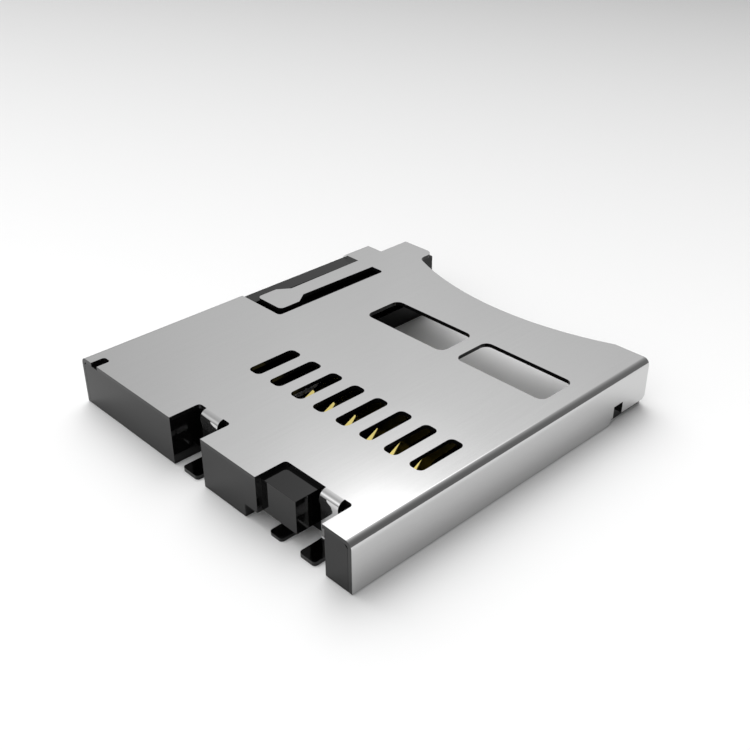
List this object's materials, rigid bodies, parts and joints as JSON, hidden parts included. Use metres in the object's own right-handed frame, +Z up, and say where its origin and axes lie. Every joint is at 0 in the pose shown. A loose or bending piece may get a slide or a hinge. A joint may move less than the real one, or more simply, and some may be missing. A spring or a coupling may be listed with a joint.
{
  "type": "microsd card connector",
  "caption": "Low push-push socket for a small memory card: bright folded steel cover over a black moulding, with solder feet at the rear.",
  "frame": {"origin": "middle of the box around the whole part, at its underside on the board", "axes": "+Y from the rear face with the solder feet to the card mouth, +Z up from the board, +X towards the full-length side wall that the picture shows"},
  "size_m": [0.014, 0.0152, 0.0019],
  "materials": {
    "bright_steel": "bright rolled",
    "spring_steel": "bright drawn",
    "gold_plate": "gold plated",
    "black_moulding": "glossy"
  },
  "bodies": {
    "socket": {"housing": "black_moulding", "cover": "bright_steel", "contact_1": "gold_plate", "contact_2": "gold_plate", "contact_3": "gold_plate", "contact_4": "gold_plate", "contact_5": "gold_plate", "contact_6": "gold_plate", "contact_7": "gold_plate", "contact_8": "gold_plate", "switch_blade": "spring_steel", "switch_terminal": "spring_steel", "eject_spring": "spring_steel"},
    "slider": {"card_slider": "black_moulding", "catch_spring": "spring_steel"},
    "pin": {"cam_pin": "spring_steel"}
  },
  "joints": [
    {"name": "slider_travel", "type": "slide", "parent": "socket", "child": "slider", "axis": [0, -1, 0], "range_m": [0, 0.0036], "stiffness_N_per_m": 120, "springref_m": -0.002, "deforming": ["eject_spring"]},
    {"name": "pin_swing", "type": "hinge", "parent": "socket", "child": "pin", "pos_m": [-0.00561, 0.0066, 0.0013], "axis": [0, 0, 1], "range_deg": [0, 6.7]}
  ],
  "couplings": [
    {"joint": "pin_swing", "follows": "slider_travel", "rad_per_m": 32.482}
  ]
}
